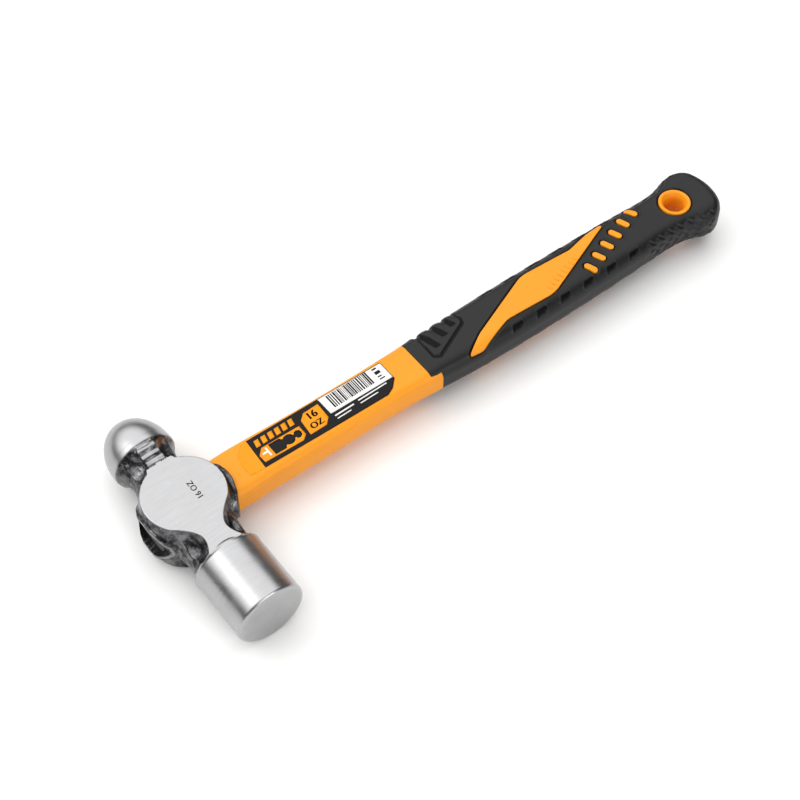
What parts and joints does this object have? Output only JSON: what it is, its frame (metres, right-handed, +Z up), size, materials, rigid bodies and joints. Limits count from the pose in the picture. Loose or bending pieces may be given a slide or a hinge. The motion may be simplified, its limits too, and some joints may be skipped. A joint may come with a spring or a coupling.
{
  "type": "ball peen hammer",
  "caption": "Ball peen hammer lying on its side: forged steel head with flat striking face and domed peen, fibreglass handle with moulded plastic jacket and rubber grip.",
  "frame": {"origin": "bottom centre of the overall box, under the middle of the length, on the plane that the striking cylinder rests on", "axes": "+X along the handle from head to butt, +Y along the striking axis from the flat face to the peen, +Z up, square to the flat cheek of the head"},
  "size_m": [0.298, 0.1086, 0.03],
  "materials": {
    "forged_steel": "ground and brushed on the working faces, dark forging scale in the recesses",
    "fibreglass": "pultruded glass fibre rod",
    "epoxy_resin": "poured epoxy, dull",
    "orange_plastic": "moulded, satin",
    "black_rubber": "soft overmoulding, matt",
    "printed_label": "printed film sticker"
  },
  "bodies": {
    "root": {"hammer_head": "forged_steel", "fibreglass_core": "fibreglass", "eye_resin": "epoxy_resin", "handle_jacket": "orange_plastic", "rubber_grip": "black_rubber", "neck_label": "printed_label"}
  },
  "joints": []
}
